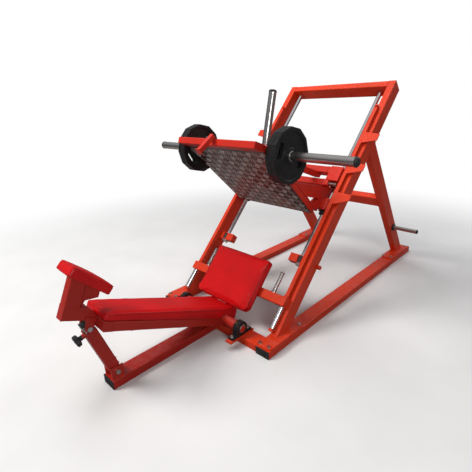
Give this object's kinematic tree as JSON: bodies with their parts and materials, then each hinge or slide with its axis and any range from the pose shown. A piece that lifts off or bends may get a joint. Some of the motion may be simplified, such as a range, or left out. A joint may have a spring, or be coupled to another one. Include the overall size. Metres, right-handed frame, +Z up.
{
  "type": "lying leg and hip press machine",
  "caption": "Plate-loaded lying leg and hip press: a carriage with a foot platform and weight horns slides on inclined chrome shafts above a hinged bench.",
  "frame": {"origin": "on the floor, on the machine's centre line, level with the front ends of the two floor rails", "axes": "+Z up, +Y from the head end towards the rear, +X to the right seen from the head end"},
  "size_m": [1.5782, 2.9875, 1.5022],
  "materials": {
    "frame_red": "bright orange-red powder coat, satin with fine orange peel",
    "carriage_red": "red powder coat, satin",
    "bench_red": "deep red powder coat, satin",
    "chrome": "hard-chromed round bar and tube",
    "black_plastic": "moulded black plastic",
    "black_iron": "black-coated cast iron",
    "zinc": "bright zinc plating",
    "steel": "ground bearing steel",
    "rubber_black": "black rubber seal",
    "bush_grey": "dark grey bush",
    "tread_steel": "bright five-bar tread plate",
    "vinyl_red": "red upholstery vinyl over foam"
  },
  "bodies": {
    "root": {"floor_rail_left": "frame_red", "floor_rail_right": "frame_red", "front_crossbar": "frame_red", "rail_end_caps": "black_plastic", "upright_left": "frame_red", "upright_right": "frame_red", "portal_top_bar": "frame_red", "rear_strut_left": "frame_red", "rear_strut_right": "frame_red", "rear_crossbar": "frame_red", "grip_crossbar": "frame_red", "hand_grips": "chrome", "guide_shaft_left": "chrome", "guide_shaft_right": "chrome", "shaft_brackets": "frame_red", "shaft_bushes": "bush_grey", "shaft_nuts": "zinc", "storage_horns": "chrome", "storage_horn_collars": "black_plastic", "storage_horn_caps": "black_plastic", "seat_board": "bench_red", "seat_pad": "vinyl_red", "pillow_blocks": "black_iron", "frame_bolts": "zinc", "bench_floor_beam": "bench_red", "leg_foot_bolt": "zinc"},
    "stop_pin_left": {"stop_pin_left": "frame_red"},
    "stop_pin_right": {"stop_pin_right": "frame_red"},
    "catch_left": {"catch_bar_left": "frame_red", "catch_handle_left": "chrome"},
    "catch_right": {"catch_bar_right": "frame_red", "catch_handle_right": "chrome"},
    "carriage": {"carriage_frame": "carriage_red", "foot_platform_frame": "carriage_red", "tread_plate": "tread_steel", "foot_post": "carriage_red", "bearing_housings": "carriage_red", "bearing_bushes": "steel", "bearing_seals": "rubber_black", "catch_pins": "zinc", "weight_horn_left": "chrome", "weight_horn_right": "chrome", "horn_end_caps": "black_plastic", "centre_horn": "chrome", "centre_horn_cap": "black_plastic"},
    "weight_plate_right_inner": {"weight_plate_right_inner": "black_iron"},
    "weight_plate_right_outer": {"weight_plate_right_outer": "black_iron"},
    "weight_plate_left_inner": {"weight_plate_left_inner": "black_iron"},
    "weight_plate_left_outer": {"weight_plate_left_outer": "black_iron"},
    "bench": {"bench_frame": "bench_red", "hinge_stubs": "bench_red", "back_pad_board": "bench_red", "back_pad": "vinyl_red", "head_pad_board": "bench_red", "head_pad": "vinyl_red", "leg_top_bolt": "zinc"},
    "leg_outer": {"leg_tube": "bench_red"},
    "leg_inner": {"leg_inner": "zinc", "leg_inner_cap": "black_plastic"},
    "star_knob": {"star_knob": "black_plastic"}
  },
  "joints": [
    {"name": "carriage_slide", "type": "slide", "parent": "root", "child": "carriage", "axis": [0, 0.6845, 0.729], "range_m": [-0.3, 0.68]},
    {"name": "bench_tilt", "type": "hinge", "parent": "root", "child": "bench", "pos_m": [0, 0.012, 0.108], "axis": [-1, 0, 0], "range_deg": [0, 6]},
    {"name": "leg_swing", "type": "hinge", "parent": "root", "child": "leg_outer", "pos_m": [0, -0.68, 0.092], "axis": [-1, 0, 0], "range_deg": [0, 8.54]},
    {"name": "leg_top_pivot", "type": "hinge", "parent": "bench", "child": "leg_inner", "pos_m": [0, -0.77593, 0.40001], "axis": [-1, 0, 0], "range_deg": [0, 2.54]},
    {"name": "clamp_knob_turn", "type": "hinge", "parent": "leg_outer", "child": "star_knob", "pos_m": [0, -0.82234, 0.34722], "axis": [0, -0.9548, -0.2974], "continuous": true},
    {"name": "catch_left_turn", "type": "hinge", "parent": "root", "child": "catch_left", "pos_m": [-0.4085, 0.25799, 0.22852], "axis": [0, 0.6845, 0.729], "range_deg": [0, 95]},
    {"name": "catch_right_turn", "type": "hinge", "parent": "root", "child": "catch_right", "pos_m": [0.4085, 0.25799, 0.22852], "axis": [0, -0.6845, -0.729], "range_deg": [0, 95]},
    {"name": "stop_pin_left_pull", "type": "slide", "parent": "root", "child": "stop_pin_left", "axis": [-1, 0, 0], "range_m": [0, 0.07]},
    {"name": "stop_pin_right_pull", "type": "slide", "parent": "root", "child": "stop_pin_right", "axis": [1, 0, 0], "range_m": [0, 0.07]},
    {"name": "plate_right_inner_off", "type": "slide", "parent": "carriage", "child": "weight_plate_right_inner", "axis": [1, 0, 0], "range_m": [0, 0.46]},
    {"name": "plate_right_outer_off", "type": "slide", "parent": "weight_plate_right_inner", "child": "weight_plate_right_outer", "axis": [1, 0, 0], "range_m": [0, 0.43]},
    {"name": "plate_left_inner_off", "type": "slide", "parent": "carriage", "child": "weight_plate_left_inner", "axis": [-1, 0, 0], "range_m": [0, 0.46]},
    {"name": "plate_left_outer_off", "type": "slide", "parent": "weight_plate_left_inner", "child": "weight_plate_left_outer", "axis": [-1, 0, 0], "range_m": [0, 0.43]}
  ],
  "couplings": [
    {"joint": "leg_swing", "follows": "bench_tilt", "ratio": 1.424},
    {"joint": "leg_top_pivot", "follows": "bench_tilt", "ratio": 0.424}
  ]
}
